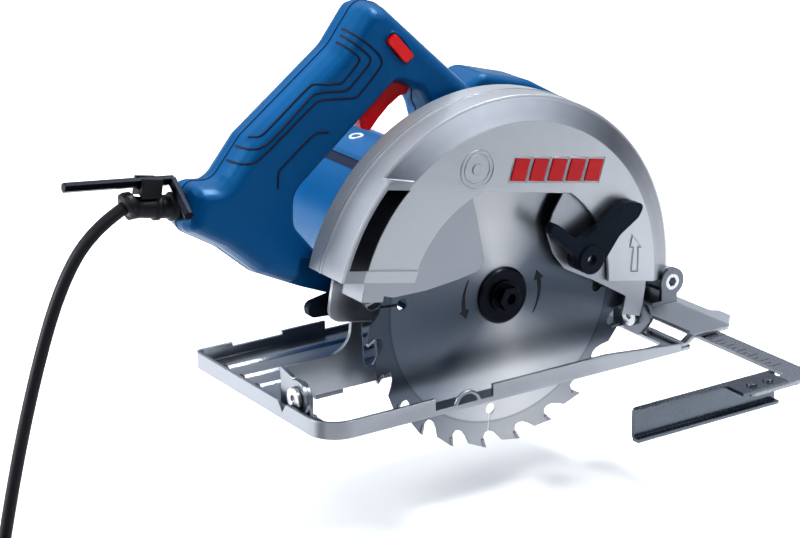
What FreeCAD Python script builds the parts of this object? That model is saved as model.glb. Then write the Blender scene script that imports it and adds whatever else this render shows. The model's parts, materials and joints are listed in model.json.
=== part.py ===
import FreeCAD, Part
import Sketcher
import math
import os

# A hand-held circular saw with a 184 mm blade.
# Axes of every group: +X is the cutting direction, +Y runs from the blade to the motor, +Z is up.
# Base parts are drawn from the sole plane below the spindle, in the plane of the blade.
# Saw parts are drawn from the point where the spindle axis crosses the blade, with the saw level,
# and are placed at the height and pitch that the depth setting gives.

App = FreeCAD
Vec = App.Vector
os.makedirs("parts", exist_ok=True)

doc = App.newDocument("circular_saw")

# ---------------------------------------------------------------- driving dimensions
SIZES = {
    # placement of the saw over the sole
    "blade_to_origin": 60.0,
    "spindle_height": 50.0,
    "saw_pitch": 11.0,
    # blade and spindle
    "blade_radius": 92.0,
    "plate_thick": 1.4,
    "tooth_width": 2.2,
    "tooth_count": 24,
    "gullet_radius": 82.0,
    "shoulder_radius": 89.4,
    "slot_hole_circle": 68.5,
    "bore_radius": 10.0,
    "spindle_radius": 7.5,
    "running_gap": 0.05,
    # base plate
    "base_rear": 137.0,
    "base_front": 118.0,
    "base_near": 29.0,
    "base_far": 118.0,
    "rim_height": 10.0,
    "sheet_thick": 2.0,
    "opening_rear": 122.0,
    "opening_front": 106.0,
    "opening_near": 16.0,
    "opening_far": 43.0,
    # tilt frame
    "tilt_side": 10.0,
    "tilt_height": 13.5,
    "tilt_pin_radius": 4.0,
    "bracket_thick": 2.5,
    "bracket_side": 25.0,
    "depth_pivot_x": 118.0,
    "depth_pivot_height": 36.6,
    "depth_pin_radius": 5.0,
    "depth_bolt_circle": 191.9,
    "clamp_bolt_radius": 3.0,
    # upper guard
    "guard_radius": 117.5,
    "guard_face_radius": 103.5,
    "guard_face": 10.5,
    "guard_bevel": 4.0,
    "guard_back": 24.0,
    "guard_wall": 2.2,
    "guard_bottom": 10.2,
    "window_radius": 69.5,
    "window_top": 62.5,
    "crossbar_top": 17.0,
    # lower guard
    "cover_radius": 100.0,
    "cover_near": 7.4,
    "cover_far": 13.0,
    "cover_wall": 1.2,
    "nose_radius": 22.2,
    # gears and motor
    "gear_module": 1.25,
    "gear_teeth": 36,
    "pinion_teeth": 8,
    "gear_near": 31.0,
    "gear_width": 8.0,
    "motor_x": -17.6,
    "motor_z": 21.13,
    "motor_radius": 45.0,
    "motor_wall": 3.0,
    "motor_near": 46.0,
    "motor_far": 150.0,
    # handles
    "handle_near": 28.3,
    "handle_mid": 45.0,
    "handle_far": 62.0,
    "handle_round": 9.0,
    # parallel guide
    "bar_rear": 127.0,
    "bar_width": 14.0,
    "bar_thick": 2.5,
    "bar_height": 2.6,
    "fence_side": 96.0,
    # lead
    "cord_diameter": 7.2,
    "coil_ring_radius": 40.0,
    "coil_bundle_radius": 11.0,
}

sheet = doc.addObject("Spreadsheet::Sheet", "d")
for row, (alias, value) in enumerate(SIZES.items(), start=1):
    sheet.set("A%d" % row, alias)
    sheet.set("B%d" % row, str(value))
    sheet.setAlias("B%d" % row, alias)
doc.recompute()


def dim(alias):
    return float(sheet.get(alias))


# ---------------------------------------------------------------- placements of the two groups
SAW_PITCH = math.radians(dim("saw_pitch"))
ON_BASE = App.Placement(Vec(0, -dim("blade_to_origin"), 0), App.Rotation())
ON_SAW = App.Placement(Vec(0, -dim("blade_to_origin"), dim("spindle_height")),
                       App.Rotation(Vec(0, 1, 0), dim("saw_pitch")))
TO_Y = App.Rotation(Vec(1, 0, 0), -90)
TO_X = App.Rotation(Vec(0, 1, 0), 90)
TO_Z = App.Rotation()
TURNS = {"X": TO_X, "Y": TO_Y, "Z": TO_Z}

nodes = []


def move(obj, place):
    # moves a finished object; its own start along one axis is already worked out from the sheet
    doc.recompute()
    for prop, _ in list(obj.ExpressionEngine):
        if "Placement" in prop:
            obj.setExpression(prop, None)
    obj.Placement = place.multiply(obj.Placement)
    return obj


def finish_node(obj, label, place):
    obj.Label = label
    nodes.append(move(obj, place))
    return obj


def bind(obj, prop, value):
    # a text value is an expression over the sheet, a number is set as it stands
    if isinstance(value, str):
        obj.setExpression(prop, value)
    elif "." in prop:
        base, axis = prop.rsplit(".", 1)
        place = obj.Placement
        setattr(place.Base, axis, value)
        obj.Placement = place
    else:
        setattr(obj, prop, value)


def value_of(value):
    # the number behind an expression such as "-d.base_near + 2"
    if not isinstance(value, str):
        return float(value)
    probe = doc.addObject("App::FeaturePython", "probe")
    probe.addProperty("App::PropertyFloat", "Value")
    probe.setExpression("Value", value)
    probe.recompute()
    number = probe.Value
    doc.removeObject(probe.Name)
    return number


# ---------------------------------------------------------------- primitives
def cyl(radius, start, end, centre=(0, 0), axis="Y"):
    # a cylinder along an axis from start to end; centre gives the other two coordinates in order
    obj = doc.addObject("Part::Cylinder", "cylinder")
    base = {"X": Vec(0, *centre), "Y": Vec(centre[0], 0, centre[1]), "Z": Vec(*centre, 0)}[axis]
    obj.Placement = App.Placement(base, TURNS[axis])
    bind(obj, "Radius", radius)
    bind(obj, "Height", "(%s) - (%s)" % (end, start))
    bind(obj, "Placement.Base." + axis.lower(), str(start))
    return obj


def block(low, high):
    obj = doc.addObject("Part::Box", "block")
    for prop, axis, lo, hi in zip(("Length", "Width", "Height"), "xyz", low, high):
        bind(obj, prop, "(%s) - (%s)" % (hi, lo))
        bind(obj, "Placement.Base." + axis, str(lo))
    return obj


def cut(base, tool):
    obj = doc.addObject("Part::Cut", "cut")
    obj.Base = base
    obj.Tool = tool if not isinstance(tool, (list, tuple)) else fuse(*tool)
    return obj


def fuse(*pieces):
    if len(pieces) == 1:
        return pieces[0]
    obj = doc.addObject("Part::MultiFuse", "fuse")
    obj.Shapes = list(pieces)
    return obj


def common(*pieces):
    obj = doc.addObject("Part::MultiCommon", "common")
    obj.Shapes = list(pieces)
    return obj


# ---------------------------------------------------------------- sketches
PLANES = {"XY": "XY_Plane", "XZ": "XZ_Plane", "YZ": "YZ_Plane"}


def rounded_edges(corners):
    # straight sides with tangent arcs: each corner is (u, v) or (u, v, radius)
    points = [Vec(c[0], c[1], 0) for c in corners]
    radii = [c[2] if len(c) > 2 else 0.0 for c in corners]
    count = len(points)
    starts, ends, arcs = [], [], []
    for i in range(count):
        here = points[i]
        back = (points[i - 1] - here).normalize()
        ahead = (points[(i + 1) % count] - here).normalize()
        if radii[i] == 0.0:
            starts.append(here)
            ends.append(here)
            arcs.append(None)
            continue
        half = math.acos(max(-1.0, min(1.0, back.dot(ahead)))) / 2
        reach = radii[i] / math.tan(half)
        first = here + back * reach
        last = here + ahead * reach
        middle = here + (back + ahead).normalize() * (radii[i] / math.sin(half) - radii[i])
        starts.append(first)
        ends.append(last)
        arcs.append(Part.Arc(first, middle, last))
    edges = []
    for i in range(count):
        if arcs[i] is not None:
            edges.append(arcs[i])
        a, b = ends[i], starts[(i + 1) % count]
        if a.distanceToPoint(b) > 1e-6:
            edges.append(Part.LineSegment(a, b))
    return edges


def new_sketch(plane, outlines, circles=()):
    body = doc.addObject("PartDesign::Body", "body")
    sketch = body.newObject("Sketcher::SketchObject", "sketch")
    for feature in body.Origin.OriginFeatures:
        if feature.Role == PLANES[plane]:
            sketch.AttachmentSupport = (feature, [""])
    sketch.MapMode = "FlatFace"
    for corners in outlines:
        sketch.addGeometry(rounded_edges(corners), False)
    for u, v, radius in circles:
        index = sketch.addGeometry(Part.Circle(Vec(u, v, 0), Vec(0, 0, 1), value_of(radius)), False)
        if isinstance(radius, str):
            number = sketch.addConstraint(Sketcher.Constraint("Radius", index, value_of(radius)))
            sketch.setExpression("Constraints[%d]" % number, radius)
    return body, sketch


def plate(plane, corners, start, end, circles=(), holes=()):
    # a plate from start to end along the normal of its plane: XZ plates lie along +Y
    body, sketch = new_sketch(plane, [corners] + list(holes), circles)
    pad = body.newObject("PartDesign::Pad", "pad")
    pad.Profile = sketch
    bind(pad, "Length", "(%s) - (%s)" % (end, start))
    pad.Reversed = plane == "XZ"
    sketch.Visibility = False
    axis = {"XY": "z", "XZ": "y", "YZ": "x"}[plane]
    bind(body, "Placement.Base." + axis, str(start))
    return body


def inset(corners, distance):
    # moves every side of a rounded outline inwards; a negative distance moves it outwards
    points = [Vec(c[0], c[1], 0) for c in corners]
    count = len(points)
    area = sum(points[i].x * points[(i + 1) % count].y - points[(i + 1) % count].x * points[i].y
               for i in range(count))
    facing = 1 if area > 0 else -1
    result = []
    for i, corner in enumerate(corners):
        back = (points[i] - points[i - 1]).normalize()
        ahead = (points[(i + 1) % count] - points[i]).normalize()
        turn = back.x * ahead.y - back.y * ahead.x
        bend = math.atan2(turn, back.dot(ahead)) / 2
        inward = Vec(-(back + ahead).y, (back + ahead).x, 0).normalize() * facing
        here = points[i] + inward * (distance / math.cos(bend))
        radius = corner[2] - distance * (1 if turn * facing > 0 else -1)
        result.append((here.x, here.y, max(0.6, radius)))
    return result


def crowned(corners, middle, side, rounding, grow=False):
    # a half with an oval edge: ruled bands between outlines that draw in towards the side
    sections = []
    for part_way in (0, 0.4, 0.7, 0.89, 0.98, 1.0):
        drawn_in = value_of(rounding) * (1 - math.sqrt(1 - part_way ** 2))
        sketch = doc.addObject("Sketcher::SketchObject", "outline")
        sketch.addGeometry(rounded_edges(inset(corners, -drawn_in if grow else drawn_in)), False)
        sketch.Placement = App.Placement(Vec(0, 0, 0), App.Rotation(Vec(1, 0, 0), 90))
        bind(sketch, "Placement.Base.y", "%s + (%s - %s) * %.3f" % (middle, side, middle, part_way))
        sections.append(sketch)
    loft = doc.addObject("Part::Loft", "loft")
    loft.Sections = sections
    loft.Solid = True
    loft.Ruled = True
    return loft


def turned(corners):
    # a solid of revolution about the Y axis: each corner is (radius, y)
    body, sketch = new_sketch("XY", [corners])
    spin = body.newObject("PartDesign::Revolution", "revolution")
    spin.Profile = sketch
    spin.ReferenceAxis = (sketch, ["V_Axis"])
    spin.Angle = 360
    sketch.Visibility = False
    return body


def own_shape(shape, name="shape"):
    obj = doc.addObject("Part::Feature", name)
    obj.Shape = shape
    return obj


def polar(radius, degrees):
    angle = math.radians(degrees)
    return radius * math.cos(angle), radius * math.sin(angle)


def spun(obj, degrees, centre=(0, 0)):
    # turns a finished object about a line along Y, anticlockwise as seen from the blade side
    turn = App.Placement(Vec(0, 0, 0), App.Rotation(Vec(0, 1, 0), -degrees), Vec(centre[0], 0, centre[1]))
    holder = doc.addObject("Part::Compound", "turned")
    holder.Links = [obj]
    holder.Placement = turn
    return holder


def hexagon(centre, flats, turn=0.0):
    corner = flats / 2 / math.cos(math.radians(30))
    return [(centre[0] + corner * math.cos(math.radians(turn + 60 * i)),
             centre[1] + corner * math.sin(math.radians(turn + 60 * i))) for i in range(6)]


def rounded(obj, radius, picks):
    # rolls the edges that picks(edge) chooses
    doc.recompute()
    chosen = [(i + 1, radius, radius) for i, edge in enumerate(obj.Shape.Edges) if picks(edge)]
    fillet = doc.addObject("Part::Fillet", "fillet")
    fillet.Base = obj
    fillet.Edges = chosen
    return fillet


def on_side(y):
    return lambda edge: all(abs(v.Point.y - y) < 1e-4 for v in edge.Vertexes)


# ================================================================ base plate and its hinge
REAR, FRONT = -dim("base_rear"), dim("base_front")
NEAR, FAR = -dim("base_near"), dim("base_far")
THICK = dim("sheet_thick")
LIP_X = 130.0
STEP_Y = 44.0

outline = [(REAR, NEAR, 18), (FRONT, NEAR, 3), (FRONT, STEP_Y, 6), (LIP_X, STEP_Y + 12, 6),
           (LIP_X, FAR, 8), (REAR, FAR, 5)]
inside = [(REAR + THICK, NEAR + THICK, 16), (FRONT + 20, NEAR + THICK), (FRONT + 20, FAR - THICK),
          (REAR + THICK, FAR - THICK, 3)]
opening = [(-dim("opening_rear"), -dim("opening_near"), 4), (dim("opening_front"), -dim("opening_near"), 4),
           (dim("opening_front"), dim("opening_far"), 4), (-dim("opening_rear"), dim("opening_far"), 4)]

floor = plate("XY", outline, 0, "d.sheet_thick", holes=[opening])
rim_walls = cut(plate("XY", outline, "d.sheet_thick / 2", "d.rim_height"), plate("XY", inside, 0, 20))
rim_gaps = [
    block((-65, NEAR - 1, 3), (-26, NEAR + 3, 11)),
    plate("XZ", [(50, 10.5), (112, 4.5), (140, 4.5), (140, 12), (50, 12)], NEAR - 1, NEAR + 3),
    block((110, NEAR - 1, THICK), (140, FAR - 10, 12)),
    plate("YZ", [(12, 10.5), (17, 4), (22, 10.5)], REAR - 1, REAR + 3),
    block((-48, FAR - 3, 4.5), (12, FAR + 1, 11)),
    block((-112, FAR - 3, 7.5), (-78, FAR + 1, 11)),
    block((45, FAR - 3, 7.5), (95, FAR + 1, 11)),
]
ribs = [plate("YZ", [(y - 3.5, 1.5), (y - 3.5, 2.2), (y - 1.8, 3.4), (y + 1.8, 3.4), (y + 3.5, 2.2),
                     (y + 3.5, 1.5)], -125, 112) for y in (64.5, 82, 101)]
rim_loop = doc.addObject("Part::Torus", "loop")
rim_loop.Radius1 = 8
rim_loop.Radius2 = 1.2
rim_loop.Placement = App.Placement(Vec(-43, NEAR + 1.2, 1), TO_Y)
rim_loop = common(rim_loop, block((-60, NEAR - 2, 1.5), (-30, NEAR + 4, 12)))
finish_node(fuse(floor, cut(rim_walls, rim_gaps), rim_loop, *ribs), "base_plate", ON_BASE)

# a stepped bridge at the front, under which the guide bar passes
bridge_side = [(111, 2), (114.2, 2), (120.5, 6), (149.4, 6), (155.5, 9.2), (154.6, 11), (148.8, 8),
               (119.9, 8), (113.4, 4), (111, 4)]
bridge_plan = [(111, -28), (147, -28, 8), (157.5, -17, 5), (152.5, -4, 4), (152, 42, 4), (140, 42, 3),
               (121, 18, 2), (111, 18)]
bridge = common(plate("XZ", bridge_side, -28, 42), plate("XY", bridge_plan, 0, 14))
screw_hole = cyl(3.05, 0, 12, (137, 30), "Z")
slot = plate("XY", [(113, -23, 2), (122, -23, 2), (122, 21), (113, 21)], 0, 12)
finish_node(cut(bridge, [slot, screw_hole]), "front_bridge", ON_BASE)


def hinge_ear(x, foot_x, label):
    # an upright with a rounded top on the floor, carrying one end of the tilt axis
    upright = plate("YZ", [(1.5, THICK), (18.5, THICK), (18.5, dim("tilt_height")),
                           (1.5, dim("tilt_height"))], x, x + 2.5)
    top = cyl(8.5, x, x + 2.5, (dim("tilt_side"), dim("tilt_height")), "X")
    foot = block((min(x, foot_x), 1.5, "d.sheet_thick"), (max(x + 2.5, foot_x), 18.5, "d.sheet_thick + 2"))
    bore = cyl("d.tilt_pin_radius", x - 1, x + 4, (dim("tilt_side"), dim("tilt_height")), "X")
    finish_node(cut(fuse(upright, top, foot), bore), label, ON_BASE)


def tilt_pin(start, head, head_end, end, label):
    axis_at = (dim("tilt_side"), dim("tilt_height"))
    shaft = cyl("d.tilt_pin_radius", start, end, axis_at, "X")
    cap = cyl(6.5, head, head_end, axis_at, "X")
    drive = cyl(2.2, head - 1, head + 1.2, axis_at, "X")
    finish_node(cut(fuse(shaft, cap), drive), label, ON_BASE)


hinge_ear(-128.3, -123.5, "rear_hinge_ear")
hinge_ear(107.5, 110.8, "front_hinge_ear")
tilt_pin(-133, -134, -131.7, -125.8, "rear_tilt_pin")
tilt_pin(101.5, 100.4, 102.6, 110, "front_tilt_pin")

# ================================================================ tilt frame
TILT_AT = (dim("tilt_side"), dim("tilt_height"))
PIVOT = (dim("depth_pivot_x"), dim("depth_pivot_height"))
FOOT_Z = 5.2

swing = dim("depth_bolt_circle")
SLOT_LOW, SLOT_HIGH = 185.2, 160.9


def on_swing(degrees, radius=None):
    u, v = polar(radius or swing, degrees)
    return PIVOT[0] + u, PIVOT[1] + v


sheet_side = [(-131.3, FOOT_Z, 2), (-56, FOOT_Z, 3), (-54, 60, 20), (-47, 104, 8), (-79, 113, 10),
              (-87, 27, 14), (-131.3, 27, 4)]
slot_ring = cut(cyl("d.depth_bolt_circle + 4.5", 20, 30, PIVOT),
                cyl("d.depth_bolt_circle - 4.5", 19, 31, PIVOT))
slot_wedge = plate("XZ", [PIVOT, on_swing(SLOT_LOW, 260), on_swing(SLOT_HIGH, 260)], 20, 30)
depth_slot = fuse(common(slot_ring, slot_wedge), cyl(4.5, 20, 30, on_swing(SLOT_LOW)),
                  cyl(4.5, 20, 30, on_swing(SLOT_HIGH)))
rear_sheet = cut(plate("XZ", sheet_side, "d.bracket_side", "d.bracket_side + d.bracket_thick"), depth_slot)
rear_ear = cut(fuse(cyl(10.5, -131.3, -128.8, TILT_AT, "X"),
                    plate("YZ", [(10, 3, 0), (19, FOOT_Z), (27.5, FOOT_Z, 0), (27.5, 27, 0), (14, 24, 4)],
                          -131.3, -128.8)),
               cyl("d.tilt_pin_radius + d.running_gap", -140, -120, TILT_AT, "X"))
finish_node(fuse(rear_sheet, rear_ear), "rear_bracket", ON_BASE)

strip = block((-110, 47, 2.8), (105.5, 57, FOOT_Z))
rear_foot = block((-110, 25, 2.8), (-92, 48, FOOT_Z))
front_foot = block((92, 21, 2.8), (105.5, 48, FOOT_Z))
finish_node(fuse(strip, rear_foot, front_foot), "tie_strip", ON_BASE)

hex_side = [(-8, 14.5, 2), (3, 2.5, 2), (17, 2.5, 2), (20.5, FOOT_Z), (28, FOOT_Z), (28, 14.5, 2),
            (19, 26), (1, 26)]
bracket_plate = cut(plate("YZ", hex_side, 103, 105.5),
                    cyl("d.tilt_pin_radius + d.running_gap", 100, 110, TILT_AT, "X"))
bracket_web = block((103, -9.5, 23.5), (121.5, 18.5, 26))


def clevis_ear(start, end):
    return fuse(cyl(8.5, start, end, PIVOT), block((110, start, 23.5), (121.5, end, "d.depth_pivot_height")))


ears = cut(fuse(clevis_ear(-9.5, -7), clevis_ear(16, 18.5)), cyl("d.depth_pin_radius", -12, 22, PIVOT))
finish_node(fuse(bracket_plate, bracket_web, ears), "front_bracket", ON_BASE)

pivot_pin = fuse(cyl("d.depth_pin_radius", -9.5, 19, PIVOT), cyl(7.5, 18.5, 20.3, PIVOT))
pin_socket = plate("XZ", hexagon(PIVOT, 5), -10, -5)
finish_node(cut(pivot_pin, pin_socket), "depth_pivot_pin", ON_BASE)

# ================================================================ parallel guide
BAR_LOW, BAR_HIGH = dim("bar_height"), dim("bar_height") + dim("bar_thick")
bar_x = dim("bar_rear")
bar_end = bar_x + dim("bar_width")
FENCE_Y = -dim("fence_side")

bar_plan = [(bar_x, 48, 2), (bar_x, FENCE_Y - 6, 5), (92, FENCE_Y - 6, 2), (92, FENCE_Y - 18, 2),
            (bar_end, FENCE_Y - 18, 16), (bar_end, 48, 2)]
finish_node(plate("XY", bar_plan, "d.bar_height", "d.bar_height + d.bar_thick"), "guide_bar", ON_BASE)

fence_wall = plate("XZ", [(20, -12, 3), (122, -12, 3), (122, BAR_HIGH + 2, 3), (20, BAR_HIGH + 2, 3)],
                   FENCE_Y - 2, FENCE_Y)
fence_top = block((84, FENCE_Y - 19, BAR_HIGH), (117, FENCE_Y, BAR_HIGH + 2))
fence_lips = [block((20, FENCE_Y - 6, -12), (122, FENCE_Y - 1, -10)),
              block((20, FENCE_Y - 5, BAR_HIGH), (84, FENCE_Y - 1, BAR_HIGH + 2))]
rivets = [cyl(3, BAR_HIGH + 1, BAR_HIGH + 3.2, (x, FENCE_Y - 12), "Z") for x in (96, 108)]
finish_node(fuse(fence_wall, fence_top, *fence_lips, *rivets), "fence", ON_BASE)

screw_at = (137, 30)
screw_wing = block((128.5, 28.8, 12.5), (145.5, 31.2, 19))
guide_screw = fuse(cyl(3, BAR_HIGH + 0.4, 17, screw_at, "Z"), cyl(5, 8.4, 13, screw_at, "Z"), screw_wing)
finish_node(guide_screw, "guide_screw", ON_BASE)

# ================================================================ upper guard
GUARD_R = dim("guard_radius")
FACE_R = dim("guard_face_radius")
FACE_Y = -dim("guard_face")
BACK_Y = dim("guard_back")
WALL = dim("guard_wall")
WINDOW_R = dim("window_radius")
WINDOW_Z = dim("window_top")
TRIM_Z = dim("guard_bottom")
pivot_u = (PIVOT[0] * math.cos(SAW_PITCH) - (PIVOT[1] - dim("spindle_height")) * math.sin(SAW_PITCH))
pivot_v = (PIVOT[0] * math.sin(SAW_PITCH) + (PIVOT[1] - dim("spindle_height")) * math.cos(SAW_PITCH))
PIVOT_ON_SAW = (pivot_u, pivot_v)
CLAMP_AT = (-73.7, -8.7)

shell = turned([(30, BACK_Y), (GUARD_R, BACK_Y), (GUARD_R, 14), (GUARD_R - 1.2, 14),
                (GUARD_R - 1.2, 12.5), (GUARD_R + 0.6, 12.5), (GUARD_R + 0.6, 10.5), (GUARD_R, 10.5),
                (GUARD_R, -dim("guard_bevel")), (FACE_R, FACE_Y), (WINDOW_R, FACE_Y),
                (WINDOW_R, FACE_Y + WALL), (FACE_R - 0.6, FACE_Y + WALL), (GUARD_R - 3, -2.8),
                (GUARD_R - 3, BACK_Y - 2.5), (30, BACK_Y - 2.5)])
panel_zone = fuse(block((-130, FACE_Y - 1, TRIM_Z), (-72, -3.9, 67.5)),
                  block((-73, FACE_Y - 1, TRIM_Z), (-20, -3.9, WINDOW_Z)))
panel_frame = common(cut(cyl(GUARD_R, FACE_Y, -3, (0, 0)), cyl(GUARD_R - 3.2, -12, 0, (0, 0))), panel_zone)
panel_strip = common(cut(cyl(GUARD_R, FACE_Y, -4, (0, 0)), cyl(FACE_R - 2, FACE_Y + WALL, 0, (0, 0))),
                     block((-130, FACE_Y - 1, WINDOW_Z), (-72, 0, 67.5)))
crossbar = common(cut(cyl(GUARD_R, FACE_Y, FACE_Y + WALL), cyl(WINDOW_R, -12, 0)),
                  block((-130, FACE_Y - 1, TRIM_Z), (-60, 0, "d.crossbar_top")))
panel = common(cut(cyl("d.guard_face_radius - 2", FACE_Y + 1.2, FACE_Y + 2.5), cyl(WINDOW_R, -12, 0)),
               fuse(block((-130, -12, TRIM_Z), (-71, 0, 66)),
                    block((-72, -12, TRIM_Z), (-20, 0, WINDOW_Z + 0.5))))
brow = common(cyl("d.window_radius + 1", FACE_Y, FACE_Y + WALL), block((-80, -12, WINDOW_Z), (80, 0, 90)))
arch = cut(fuse(cut(shell, panel_zone), brow), block((-150, -20, -150), (150, 40, TRIM_Z)))
lug = plate("XZ", [(-101, -21, 8), (-62, -21, 8), (-62, 12), (-101, 12)], BACK_Y - 2.5, BACK_Y)
pivot_room = [cyl(9.3, -12, -6.5, PIVOT_ON_SAW), cyl(9.3, 15.5, 26, PIVOT_ON_SAW)]
guard_body = cut(fuse(arch, panel_frame, panel_strip, crossbar, panel, lug), pivot_room)
pivot_boss = cyl(8, -6.5, 15.5, PIVOT_ON_SAW)
guard_bores = [cyl("d.depth_pin_radius + d.running_gap", -12, 30, PIVOT_ON_SAW),
               cyl("d.clamp_bolt_radius", 18, 30, CLAMP_AT)]
finish_node(cut(fuse(guard_body, pivot_boss), guard_bores), "upper_guard", ON_SAW)

badge = plate("XZ", [(-18, 70, 4), (50, 68.5, 4), (52, 80, 4), (-14, 82, 4)], FACE_Y - 0.8, FACE_Y)
roundel = cyl(9, FACE_Y - 0.8, FACE_Y, (-38, 75))
finish_node(fuse(badge, roundel), "guard_badge", ON_SAW)

bolt_head = cyl(5.5, BACK_Y - 4.5, BACK_Y - 2.5, CLAMP_AT)
bolt_shaft = cyl("d.clamp_bolt_radius", BACK_Y - 3, 40, CLAMP_AT)
bolt_nut = plate("XZ", hexagon(CLAMP_AT, 10), 37.4, 40)
finish_node(fuse(bolt_head, bolt_shaft, bolt_nut), "clamp_bolt", ON_SAW)

lever_side = [(-66, -1, 8), (-64, -17, 8), (-84, -18, 8), (-108, -21, 4), (-110, -13, 4), (-84, -3, 10)]
lever_body = fuse(plate("XZ", lever_side, 29.5, 35), cyl(9.5, 28.5, 37, CLAMP_AT))
finish_node(cut(lever_body, cyl("d.clamp_bolt_radius + d.running_gap", 20, 42, CLAMP_AT)),
            "depth_lever", ON_SAW)

# ================================================================ lower guard
COVER_R = dim("cover_radius")
COVER_NEAR = -dim("cover_near")
COVER_FAR = dim("cover_far")
COVER_WALL = dim("cover_wall")
LEVER_AT = (46, 25.5)

rear_leaf = [(-130, 3), (-98, 4), (-80, 1, 10), (-58, 5, 10), (-38, 11, 10), (-24, 16, 5), (-21, 22, 5),
             (-36, 59, 8), (-45, 110), (-130, 110)]
front_leaf = [(27, 62, 6), (22, 49.5, 8), (20, 38, 8), (27, 26, 8), (37, 17, 6), (60, 10, 8), (130, -16),
              (130, 110), (40, 110)]
cover_sector = [(0, 0), polar(180, 181), (-180, 180), (180, 180), polar(180, -7)]
edge_ring = common(cut(cyl(COVER_R, COVER_NEAR, COVER_NEAR + COVER_WALL), cyl(86, -9, 0)),
                   plate("XZ", cover_sector, -9, 15))
leaves = common(fuse(plate("XZ", rear_leaf, COVER_NEAR, COVER_NEAR + COVER_WALL),
                     plate("XZ", front_leaf, COVER_NEAR, COVER_NEAR + COVER_WALL)),
                cyl(COVER_R, -9, 0))
cover_rim = common(cut(cyl(COVER_R, COVER_NEAR, COVER_FAR), cyl("d.cover_radius - d.cover_wall", -9, 15)),
                   plate("XZ", cover_sector, -9, 15))
far_wall = common(cyl(COVER_R, COVER_FAR - COVER_WALL, COVER_FAR), plate("XZ", cover_sector, -9, 15))
hub = fuse(cyl(30, COVER_FAR - COVER_WALL, COVER_FAR), cyl("d.nose_radius + 2.8", 10, 17))
hub_bore = cyl("d.nose_radius + d.running_gap", -1, 20)
stem_hole = cyl(3, -10, 0, LEVER_AT)
finish_node(cut(fuse(edge_ring, leaves, cover_rim, far_wall, hub), [hub_bore, stem_hole]),
            "lower_guard", ON_SAW)

lever_arm = [(40, 18, 6), (52, 17, 6), (64, 40, 12), (76, 51, 4), (79, 59, 3), (66, 60, 6), (50, 46, 14),
             (36, 36, 8), (16, 47, 3), (12, 42, 3), (34, 28, 8)]
lever_solid = fuse(plate("XZ", lever_arm, -19, -13), cyl(8.5, -20, COVER_NEAR, LEVER_AT))
finish_node(cut(lever_solid, cyl(3, -21, -5, LEVER_AT)), "guard_lever", ON_SAW)
finish_node(fuse(cyl(3, -17, COVER_NEAR + COVER_WALL, LEVER_AT),
                 cyl(5, COVER_NEAR + COVER_WALL, COVER_NEAR + COVER_WALL + 1.2, LEVER_AT)),
            "lever_screw", ON_SAW)
finish_node(cut(cyl(25, 17.6, 20.8), cyl("d.nose_radius", 17, 22)), "guard_spring", ON_SAW)

# ================================================================ blade
BLADE_R = dim("blade_radius")
HALF = dim("plate_thick") / 2
TEETH = int(dim("tooth_count"))
STEP = 360.0 / TEETH
FIRST_TOOTH = 3.7
SHOULDER_R = dim("shoulder_radius")
GULLET_R = dim("gullet_radius")

rim_profile = []
for tooth in range(TEETH):
    face = FIRST_TOOTH + STEP * tooth
    for radius, lead in ((BLADE_R - 0.35, -1.25), (BLADE_R - 5.1, -2.6), (BLADE_R - 5.2, -1.47),
                         (BLADE_R - 7, -1.8), (GULLET_R + 0.6, -1.2), (GULLET_R, 0.4), (GULLET_R + 0.7, 2.6),
                         (GULLET_R + 3.2, 4.8), (SHOULDER_R, 7.2)):
        rim_profile.append(polar(radius, face + lead))
blade = plate("XZ", rim_profile, "-d.plate_thick / 2", "d.plate_thick / 2", circles=[(0, 0, "d.bore_radius")])
keyholes = []
hole_r = dim("slot_hole_circle")
for quarter in range(4):
    notch = fuse(cyl(3.2, -2, 2, (hole_r, 0)), block((hole_r, -2, -0.6), (GULLET_R + 3, 2, 0.6)))
    keyholes.append(spun(notch, FIRST_TOOTH + 0.4 + 90 * quarter))
finish_node(cut(blade, keyholes), "blade", ON_SAW)

tips = []
for tooth in range(TEETH):
    face = FIRST_TOOTH + STEP * tooth
    corners = [polar(BLADE_R, face), polar(BLADE_R - 0.35, face - 1.25), polar(BLADE_R - 5.1, face - 2.6),
               polar(BLADE_R - 5.2, face - 1.47)]
    tips.append(plate("XZ", corners, "-d.tooth_width / 2", "d.tooth_width / 2"))
tip_set = doc.addObject("Part::Compound", "tips")
tip_set.Links = tips
finish_node(tip_set, "carbide_tips", ON_SAW)

outer_flange = turned([(4, -HALF - 2.5), (15.5, -HALF - 2.5), (16.7, -HALF - 1.3), (16.7, -HALF), (4, -HALF)])
finish_node(outer_flange, "outer_flange", ON_SAW)
inner_flange = fuse(cyl(17, HALF, 4.7), cyl("d.bore_radius - d.running_gap", -HALF, HALF + 1))
finish_node(cut(inner_flange, cyl(4, -2, 6)), "inner_flange", ON_SAW)
washer = cyl(9.5, -5, -HALF - 2.5)
bolt = fuse(washer, plate("XZ", hexagon((0, 0), 13, 10), -10.2, -5), cyl(4, -6, 18))
finish_node(cut(bolt, plate("XZ", hexagon((0, 0), 6), -11, -7)), "blade_bolt", ON_SAW)
spindle = fuse(cyl("d.spindle_radius", 4.7, 30), cyl(9, 30, 39.5), cyl(6, 39, 45.5))
finish_node(cut(spindle, cyl(4, 4, 18)), "spindle", ON_SAW)

# ================================================================ gears
MOTOR_AT = (dim("motor_x"), dim("motor_z"))
GEAR_END = "d.gear_near + d.gear_width"
MODULE = dim("gear_module")
MESH_ANGLE = math.degrees(math.atan2(MOTOR_AT[1], MOTOR_AT[0]))
PRESSURE = math.radians(20)


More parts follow.
